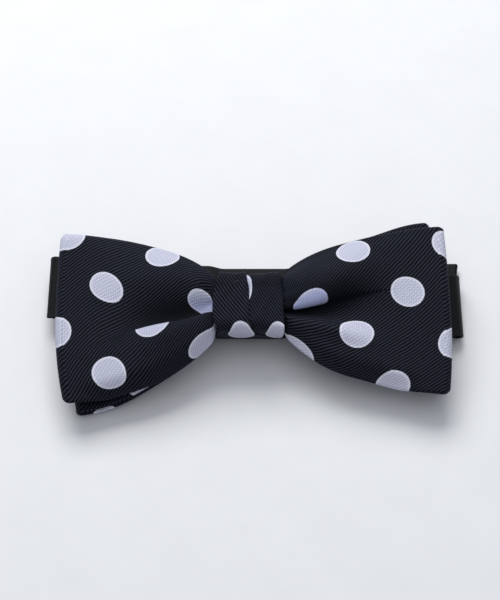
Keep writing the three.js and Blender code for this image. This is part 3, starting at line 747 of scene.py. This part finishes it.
def add_bow(name, bow):
    """A band of doubled cloth round a canvas strip, folded into a loop."""
    centre, cloth = band_surface(bow)
    normal = normals(centre)
    outer = two_sides(centre, normal, PLY_HALF * edge_profile(centre, EDGE_ROUND_OUTSIDE))
    inner = two_sides(centre, normal, (PLY_HALF - CLOTH_WALL) * edge_profile(centre, EDGE_ROUND_INSIDE))
    outer, inner = (from_bow(turned(grid, bow["turn"])) for grid in (outer, inner))
    both = np.concatenate([cloth, cloth_turned_under(cloth)], axis=1)
    shell = tube_piece(name, outer, inner, both)
    dress(shell, TWILL, "bow", "dotted_twill", name + "_shell")

    inset = canvas_columns(centre)
    sheet = two_sides(inset, normals(inset), CANVAS_HALF * np.ones(inset.shape[:2]))
    grid = canvas_columns(cloth)
    canvas = loft_piece(name + "_interlining_cloth", from_bow(turned(sheet, bow["turn"])),
                        np.concatenate([grid, grid[:, ::-1]], axis=1))
    dress(canvas, CANVAS, "bow", "canvas", name + "_interlining")


def cloth_turned_under(cloth):
    """Cloth coordinates of a band's underside, where the print runs on round both folded edges."""
    under = cloth[:, ::-1].copy()
    rows = cloth[..., 1]
    near_half = np.arange(rows.shape[1]) < rows.shape[1] / 2
    turn_over = np.where(near_half, 2 * rows[:, :1], 2 * rows[:, -1:])
    under[..., 1] = (turn_over - rows)[:, ::-1]
    return under


def canvas_columns(grid):
    """The band's middle surface without its outermost columns, where the cloth folds over."""
    return grid[:, 2:-2]


add_bow("front_bow", FRONT_BOW)
add_bow("back_bow", BACK_BOW)


# ------------------------------------------------------------------ the knot

KNOT_HALF_WIDTH = 9.75
KNOT_TOP = 7.8
KNOT_BOTTOM = 8.9
KNOT_TUCK = 0.18  # how much the wrap's lower half draws in towards its back
KNOT_TOP_RADIUS = 3.6
KNOT_FRONT = 6.1
KNOT_BACK = -6.45
KNOT_FRONT_RADIUS = 2.4
KNOT_BACK_RADIUS = 1.8
KNOT_WALL = 0.95
KNOT_PLEAT = 0.6
KNOT_SLIT = 0.4
KNOT_EDGE = 0.45  # how round the folded edges of the wrap's panels are
KNOT_PLEAT_GAP = 0.12  # between the left panel's fold and the right panel under it
KNOT_CANVAS_INSET = 2.1
PANEL_STEPS = 34


def rounded_outline(top, bottom, back, front, back_radius, top_radius, bottom_radius, gap, fine):
    """A rounded rectangle in the v-n plane, open by a gap at the middle of its back."""
    def line(a, b, steps):
        t = np.arange(steps) / steps
        return np.stack([mix(a[0], b[0], t), mix(a[1], b[1], t)], -1)

    def corner(v, n, radius, start, steps):
        angle = start + (math.pi / 2) * np.arange(steps) / steps
        return np.stack([v + radius * np.cos(angle), n + radius * np.sin(angle)], -1)

    top_back, bottom_back = top - back_radius, -bottom + back_radius
    top_front, bottom_front = top - top_radius, -bottom + bottom_radius
    lift = back + back_radius
    return np.concatenate([
        line((gap / 2, back), (top_back, back), 5 * fine),
        corner(top_back, lift, back_radius, -math.pi / 2, 3 * fine),
        line((top, lift), (top, front - top_radius), 4 * fine),
        corner(top_front, front - top_radius, top_radius, 0, 6 * fine),
        line((top_front, front), (bottom_front, front), 12 * fine),
        corner(bottom_front, front - bottom_radius, bottom_radius, math.pi / 2, 5 * fine),
        line((-bottom, front - bottom_radius), (-bottom, lift), 5 * fine),
        corner(bottom_back, lift, back_radius, math.pi, 3 * fine),
        line((bottom_back, back), (-gap / 2, back), 5 * fine),
        [(-gap / 2, back)],
    ])


def knot_outline(offset, fine):
    """The wrap's section across the bow, a little outside its inner face, drawn in behind."""
    outline = rounded_outline(KNOT_TOP + offset, KNOT_BOTTOM + offset,
                              KNOT_BACK - offset, KNOT_FRONT + offset,
                              KNOT_BACK_RADIUS + offset, KNOT_TOP_RADIUS + offset,
                              KNOT_FRONT_RADIUS + offset, KNOT_SLIT, fine)
    backward = np.clip((KNOT_FRONT - outline[:, 1]) / (KNOT_FRONT - KNOT_BACK), 0, 1)
    outline[:, 0] *= np.where(outline[:, 0] < 0, 1 - KNOT_TUCK * backward, 1)
    return outline


# The print on each panel of the knot: a dot's centre in u and in distance round the wrap, up from the
# middle of the front, and how far along u the next dot is.
KNOT_PRINT = {"left": (-2.4, -13.2, 12.4), "right": (7.9, -13.3, 10.2)}
KNOT_ROW = 16.3


def add_knot():
    """The wrap: one band round the waist, with its left panel folded over its right."""
    inner, outer = knot_outline(0, 3), knot_outline(1, 3)
    arc = np.concatenate([[0], np.cumsum(np.linalg.norm(np.diff(outer, axis=0), axis=1))])
    front = outer[:, 1] > 0
    middle = np.interp(0, -outer[front, 0], arc[front])
    rings, cloth = [], []
    for k, (v, n) in enumerate(inner):
        out_v, out_n = outer[k] - inner[k]
        forward = smooth((n - KNOT_BACK) / (KNOT_FRONT - KNOT_BACK))
        around = arc[k] - middle
        fold_u = 0.05 + 0.0009 * max(around, -8) ** 3 - 0.5 * float(smooth((-around - 2) / 4))
        section = knot_section(fold_u, KNOT_PLEAT * forward)
        left_width, right_width = (1 + forward * wider for wider in panel_widening(v))
        shape = []
        for u, height, _ in section:
            rise = height + knot_flare(u, v) * forward
            if height > 0.3:
                rise += (knot_crumple(u, around) + tack_dimple(u, around)) * forward
            width = left_width if u < 0 else right_width
            shape.append((u * width, v + out_v * rise, n + out_n * rise))
        rings.append(shape)
        cloth.append([print_on_knot(u, around, side) for u, _, side in section])
    piece = loft_piece("knot_wrap_cloth", from_bow(np.array(rings)), np.array(cloth))
    dress(piece, TWILL, "bow", "dotted_twill", "knot_wrap")


TACK_U = -3.3
TACK_AROUND = -5.3


def panel_widening(v):
    """How much wider than its middle each panel of the wrap is, at a height on its front."""
    left = (0.07 * float(bell(v + 3, 6)) - 0.05 * float(smooth((v - 1) / 5))
            - 0.08 * float(smooth((v - 5) / 3)) - 0.13 * float(smooth((-v - 6.4) / 2.6)))
    right = 0.03 * float(smooth(-(v + 1) / 7)) - 0.06 * float(smooth((v + 2) / 9))
    return left, right


def knot_flare(u, v):
    """The wrap's side edges stand proud at its top and bottom, more so at the right."""
    outer = (u / KNOT_HALF_WIDTH) ** 2
    if v > 0:
        return 0.8 * outer * float(smooth((v - 5) / 3))
    return (0.4 + 0.7 * (u > 0)) * outer * float(smooth((-v - 6) / 3))


def knot_crumple(u, around):
    """Soft unevenness of cloth that is pulled tight by hand."""
    return 0.12 * math.sin(0.9 * u + 0.45 * around) * math.sin(0.33 * around + 0.5 * u + 1)


def tack_dimple(u, around):
    """The dent that a small tack stitch pulls in the left panel."""
    away = math.hypot((u - TACK_U) / 1.9, (around - TACK_AROUND) / 1.1)
    return -0.45 * math.exp(-away ** 2)


def knot_section(fold_u, pleat):
    """One section of the wrap along u, as (u, height, panel), out over the top and back underneath."""
    half, edge = KNOT_HALF_WIDTH, KNOT_EDGE
    quarter_turn = np.linspace(0, math.pi / 2, 6)
    half_turn = np.linspace(0, math.pi, 10)
    across_panel = np.linspace(0, 1, PANEL_STEPS)
    points = [(-half + edge * (1 - math.cos(t)), edge + (KNOT_WALL - edge) * math.sin(t), "left")
              for t in quarter_turn]
    for t in across_panel[1:]:
        u = mix(-half + 0.5, fold_u - edge, t)
        points.append((u, KNOT_WALL + pleat * smooth((u + 7.5) / 7), "left"))
    top = KNOT_WALL + pleat
    drop = (pleat + KNOT_PLEAT_GAP) / 2
    for t in half_turn[1:]:
        points.append((fold_u - edge + edge * math.sin(t), top - drop * (1 - math.cos(t)), "left"))
    low = KNOT_WALL - KNOT_PLEAT_GAP
    for t in across_panel[1:]:
        u = mix(fold_u - 0.3, half - 0.5, t)
        points.append((u, mix(low, KNOT_WALL, smooth((u - fold_u) / 1.2)), "right"))
    for t in quarter_turn[1:]:
        points.append((half - 0.5 + 0.5 * math.sin(t),
                       KNOT_WALL - (KNOT_WALL - edge) * (1 - math.cos(t)), "right"))
    count = len(points)
    under = [(mix(half, -half, t), 0.0, "right" if t < 0.5 else "left") for t in np.linspace(0, 1, count)]
    return points + under


def print_on_knot(u, around, side):
    """Cloth coordinates on a panel of the wrap, whose ribs run the other way to the bow's; the third is
    painted shade over the upper front and top of the wrap.
    """
    dot_u, dot_up, spacing = KNOT_PRINT[side]
    # Painted shade over the upper front and top of the wrap, which darkens its ribs and dots.
    painted_knot_shade = 0.3 * float(smooth((-around - 1.5) / 3)) * float(smooth((around + 14) / 4))
    return ((around + dot_up) * (DOT_PITCH / 2) / KNOT_ROW, (u - dot_u) * DOT_ROW / spacing, painted_knot_shade)


add_knot()


def add_knot_canvas():
    """The stiffener inside the wrap, open at the back where the strap passes."""
    outer, inner = knot_outline(-0.15, 3), knot_outline(-0.4, 3)
    keep = outer[:, 1] > KNOT_BACK + 3.5
    half = KNOT_HALF_WIDTH - KNOT_CANVAS_INSET
    columns = np.linspace(-half, half, 24)
    arc = np.concatenate([[0], np.cumsum(np.linalg.norm(np.diff(outer, axis=0), axis=1))])
    rings, cloth = [], []
    for (v, n), (w, m), along in zip(outer[keep], inner[keep], arc[keep]):
        rings.append([(u, v, n) for u in columns] + [(u, w, m) for u in columns[::-1]])
        cloth.append([(along, u, 0) for u in columns] + [(along, u, 0) for u in columns[::-1]])
    piece = loft_piece("knot_interlining_cloth", from_bow(np.array(rings)), np.array(cloth))
    dress(piece, CANVAS, "bow", "canvas", "knot_interlining")


add_knot_canvas()


# ------------------------------------------------------------------ thread

def spline(points, steps):
    """A smooth line through points: a centripetal-like Catmull-Rom spline."""
    p = np.asarray(points, float)
    p = np.concatenate([[2 * p[0] - p[1]], p, [2 * p[-1] - p[-2]]])
    out = []
    for i in range(1, len(p) - 2):
        t = np.linspace(0, 1, steps, endpoint=False)[:, None]
        a, b, c, d = p[i - 1], p[i], p[i + 1], p[i + 2]
        out.append(0.5 * (2 * b + (c - a) * t + (2 * a - 5 * b + 4 * c - d) * t ** 2
                          + (3 * b - a - 3 * c + d) * t ** 3))
    return np.concatenate(out + [p[-2:-1]])


def plied_thread(line, radius, turn_length):
    """A thread of two plies twisted together along a line, closed at both ends."""
    along = np.gradient(line, axis=0)
    along /= np.linalg.norm(along, axis=1, keepdims=True)
    side = np.cross(along[0], (0.3, 0.5, 0.81))
    arc = np.concatenate([[0], np.cumsum(np.linalg.norm(np.diff(line, axis=0), axis=1))])
    rings = []
    angles = np.linspace(0, 2 * math.pi, 12, endpoint=False)
    for k, (point, way) in enumerate(zip(line, along)):
        side = side - way * np.dot(side, way)
        side /= np.linalg.norm(side)
        other = np.cross(way, side)
        twist = 2 * math.pi * arc[k] / turn_length
        taper = min(1, 0.35 + 3 * min(k, len(line) - 1 - k) / len(line) * 8)
        reach = radius * taper * (0.72 + 0.28 * np.abs(np.cos(angles - twist)))
        around = np.cos(angles)[:, None] * side + np.sin(angles)[:, None] * other
        rings.append(point + reach[:, None] * around)
    return np.array(rings)


def add_thread(name, line, radius, to_row, body, node):
    rings = plied_thread(line, radius, radius * 9)
    piece = loft_piece(name, to_row(rings))
    return dress(piece, THREAD, body, "thread", *([node] if node else []))


def zigzag(count, place):
    """Stitches that cross from side to side, dipping into the cloth at each end."""
    points = []
    for k in range(count + 1):
        points.append(place(k / count, 1 if k % 2 else -1))
    return spline(points, 8)


def add_bow_seam(name, bow):
    half = WAIST_HALF_HEIGHT - 1

    def place(t, side):
        return (side * 0.25, mix(-half, half, t), bow["back"][0] + side * 0.3)
    add_thread(name + "_seam_stitches", zigzag(16, place), 0.12, from_bow, "bow", name + "_seam_thread")


add_bow_seam("front_bow", FRONT_BOW)
add_bow_seam("back_bow", BACK_BOW)


def add_gather_thread():
    half_v, half_n, turns, spread = WAIST_HALF_HEIGHT + 0.42, 4.92, 3, 1.8
    outline = rounded_outline(half_v, half_v, -half_n, half_n, 0.9, 2.6, 0.9, 0, 1)[:-1]
    total = turns * len(outline)
    k = np.arange(total + 1)
    ring = outline[k % len(outline)]
    line = np.column_stack([spread * (k / total - 0.5), ring])
    add_thread("gather_thread_turns", line, 0.2, from_bow, "bow", "gather_thread")


add_gather_thread()


def add_closing_stitches():
    def place(t, side):
        return (mix(-7, 7, t), side * 0.85, KNOT_BACK - KNOT_WALL - 0.4 + 0.05 * side)
    add_thread("knot_closing_thread", zigzag(14, place), 0.17, from_bow, "bow", "knot_closing_stitches")


add_closing_stitches()


def add_tack_stitch():
    """The small stitch that holds the pleat down, at the top left of the knot."""
    v = -TACK_AROUND - (KNOT_BOTTOM - KNOT_TOP) / 2
    n = KNOT_FRONT + KNOT_WALL + 0.15
    points = [(TACK_U - 0.45, v, n - 0.25), (TACK_U, v + 0.05, n + 0.05), (TACK_U + 0.45, v + 0.1, n - 0.25)]
    line = spline(points, 8)
    add_thread("knot_tack_stitch", line, 0.13, from_bow, "bow", None)


add_tack_stitch()

# ------------------------------------------------------------------ the strap

STRAP_HALF_WIDTH = 10
STRAP_HALF = 0.35
STRAP_HALF_IN_KNOT = 7.2
STRAP_NARROW_END = 13.5
STRAP_WIDE_FROM = 24
STRAP_LEFT = -59.3
STRAP_RIGHT = 58.3
NESTED_FOLD = 59.4
FOLD_SKEW = 0.16
STRAP_Y = 9.5
RUN_Z = 0.35
SECOND_RUN_Z = 1.25
OVER_EYE_Z = 3.75
OVER_SLIDER_Z = 3.05
TAIL_OVER_BAR_Z = 2.15
TACK_Z = 1.85
KNOT_X = -1.5
BOW_HEIGHT = 12.8
TOP_RUN_IN_KNOT = -5.85
TOP_RUN_AT_FOLD = -7.15
TOP_RUN_SHIFT_LEFT = 9.1
TOP_RUN_SHIFT_RIGHT = 3.2
HOOK_X = -43.5
EYE_X = 24
EYE_Z = 1.45
SLIDER_X = -28
TAIL_BEND_START = 0.5  # from the hook, two places along the tail towards the slider
TAIL_BEND_END = 7.5


def run(levels, steps=14):
    """Stations (x, y, z, tilt, half width, skew) through given levels, eased between them.

    A level is x, y, z and, where the ribbon's fold isn't square to its edges, the skew of the fold.
    """
    full = [(*level, 0.0)[:4] for level in levels]
    out = []
    for a, b in zip(full, full[1:]):
        for t in np.arange(steps) / steps:
            e = float(smooth(t))
            out.append((mix(a[0], b[0], t), mix(a[1], b[1], e), mix(a[2], b[2], e), 0.0, STRAP_HALF_WIDTH,
                        mix(a[3], b[3], e)))
    x, y, z, skew = full[-1]
    out.append((x, y, z, 0.0, STRAP_HALF_WIDTH, skew))
    return out


def fold(a, b, side, steps=14):
    """A rounded fold from one run's end to the start of the next."""
    radius = abs(a[2] - b[2]) / 2
    out = []
    for k in range(1, steps):
        t = k / steps
        angle = math.pi * t
        out.append((mix(a[0], b[0], t) + side * radius * math.sin(angle), mix(a[1], b[1], t),
                    (a[2] + b[2]) / 2 + (a[2] - b[2]) / 2 * math.cos(angle), mix(a[3], b[3], t),
                    STRAP_HALF_WIDTH, mix(a[5], b[5], t)))
    return out


def top_run(steps=90):
    """The run that the bow hangs on, through the knot and parallel to the back of the bow."""
    c, s = math.cos(BOW_TILT), math.sin(BOW_TILT)
    right, left = STRAP_RIGHT - KNOT_X, STRAP_LEFT - KNOT_X
    out = []
    for u in np.linspace(right, left, steps):
        outward = float(smooth((abs(u) - STRAP_NARROW_END) / (right - STRAP_NARROW_END)))
        wide = float(smooth((abs(u) - STRAP_NARROW_END) / (STRAP_WIDE_FROM - STRAP_NARROW_END)))
        v = (TOP_RUN_SHIFT_LEFT if u < 0 else TOP_RUN_SHIFT_RIGHT) * outward
        n = mix(TOP_RUN_IN_KNOT, TOP_RUN_AT_FOLD, outward)
        out.append((KNOT_X + u, v * c - n * s, BOW_HEIGHT + v * s + n * c, BOW_TILT,
                    mix(STRAP_HALF_IN_KNOT, STRAP_HALF_WIDTH, wide), 0.0))
    return out


def ribbon_rings(stations, columns=22):
    """Rings of a ribbon with round selvedges, and its cloth coordinates."""
    s = np.array(stations)
    middle = s[:, :3]
    arc = np.concatenate([[0], np.cumsum(np.linalg.norm(np.diff(middle, axis=0), axis=1))])
    along = np.gradient(middle, axis=0)
    along /= np.linalg.norm(along, axis=1, keepdims=True)
    across = np.stack([0 * s[:, 3], np.cos(s[:, 3]), np.sin(s[:, 3])], -1)
    out = np.cross(along, across)
    out /= np.linalg.norm(out, axis=1, keepdims=True)
    t = np.sin(np.linspace(-math.pi / 2, math.pi / 2, columns))
    across = across + np.array([1, 0, 0]) * s[:, 5:6]
    place = across[:, None, :] * (t[None, :, None] * s[:, 4][:, None, None])
    from_edge = (1 - np.abs(t)) * STRAP_HALF_WIDTH
    selvedge = np.sqrt(1 - 0.96 * np.clip(1 - from_edge / 0.3, 0, 1) ** 2)
    half = STRAP_HALF * selvedge * (0.86 + 0.14 * smooth((1.3 - from_edge) / 0.4))
    centre = middle[:, None, :] + place
    offset = out[:, None, :] * half[None, :, None]
    rings = np.concatenate([centre + offset, (centre - offset)[:, ::-1]], axis=1)
    cloth = np.stack(np.broadcast_arrays(arc[:, None], t[None, :] * STRAP_HALF_WIDTH, 0.0), -1)
    return rings, np.concatenate([cloth, cloth[:, ::-1]], axis=1), float(arc[-1])


def add_ribbon(name, stations):
    rings, cloth, length = ribbon_rings(stations)
    return loft_piece(name, from_strap(rings), cloth), length


def add_strap():
    eye_run = run([(EYE_X + 8.5, STRAP_Y, SECOND_RUN_Z), (EYE_X + 5, STRAP_Y, SECOND_RUN_Z),
                   (EYE_X, STRAP_Y, 2 * EYE_Z - RUN_Z)])
    bottom = run([(EYE_X, STRAP_Y, RUN_Z), (42, STRAP_Y, RUN_Z), (STRAP_RIGHT, 7, RUN_Z)])
    top = top_run()
    second = run([(STRAP_LEFT, 11.4, 4.4), (-40, 10.6, 4.9), (-14, 9.4, 4.9), (-9, 9, 3.9), (9, 9, 3.9),
                  (14, 9, 4.85), (31, 9.4, 4.85), (45, 10.8, 2.6), (NESTED_FOLD, 11.7, 2.6, FOLD_SKEW)])
    third = run([(NESTED_FOLD, 11.7, 1.3, FOLD_SKEW), (43, 10.6, 1.3), (33, 9.6, OVER_EYE_Z),
                 (13, STRAP_Y, OVER_EYE_Z), (3, STRAP_Y, RUN_Z), (-6, STRAP_Y, RUN_Z),
                 (-13.5, STRAP_Y, OVER_SLIDER_Z), (HOOK_X, STRAP_Y, OVER_SLIDER_Z)])
    hook_turn = fold(third[-1], (HOOK_X, STRAP_Y, RUN_Z, 0.0, STRAP_HALF_WIDTH, 0.0), -1)
    stations = (eye_run + fold(eye_run[-1], bottom[0], -1) + bottom + fold(bottom[-1], top[0], 1)
                + top + fold(top[-1], second[0], -1) + second + fold(second[-1], third[0], 1)
                + third + hook_turn)
    strap, length = add_ribbon("neck_strap_ribbon", stations)
    dress(strap, RIBBON, "strap", "ribbon", "neck_strap")

    under = run([(HOOK_X, STRAP_Y, RUN_Z), (HOOK_X + TAIL_BEND_END, STRAP_Y, RUN_Z),
                 (SLIDER_X + 1, STRAP_Y, RUN_Z)])
    over = run([(SLIDER_X + 1, STRAP_Y, TAIL_OVER_BAR_Z), (SLIDER_X - 1.6, STRAP_Y, TAIL_OVER_BAR_Z),
                (SLIDER_X - 4, STRAP_Y, SECOND_RUN_Z), (SLIDER_X - 6.7, STRAP_Y, SECOND_RUN_Z)])
    tail, tail_length = add_ribbon("strap_tail_ribbon", under + fold(under[-1], over[0], 1) + over)
    tail.data.materials.append(RIBBON)
    from_strap((HOOK_X + TAIL_BEND_START, STRAP_Y, 0))
    from_strap((HOOK_X + TAIL_BEND_END, STRAP_Y, 0))
    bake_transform(tail)
    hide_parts("strap_tail")


add_strap()


def add_bar_tack(name, x, body, node):
    def place(t, side):
        return (x + 0.5 * side, STRAP_Y + mix(-8.5, 8.5, t), TACK_Z)
    add_thread(name, zigzag(34, place), 0.15, from_strap, body, node)


add_bar_tack("slider_tack_stitches", SLIDER_X - 5.3, "slider", "slider_bar_tack")
add_bar_tack("eye_tack_stitches", EYE_X + 6.5, "strap", "eye_bar_tack")

# ------------------------------------------------------------------ hardware

for node in ("adjuster_slider", "hook", "eye"):
    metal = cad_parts[node]
    metal.data.materials.clear()
    metal.data.materials.append(NICKEL)
    rounding = metal.modifiers.new("rounded edges", "BEVEL")
    rounding.width = 0.22 * MM
    rounding.segments = 3
    rounding.limit_method = "ANGLE"
    rounding.angle_limit = math.radians(40)
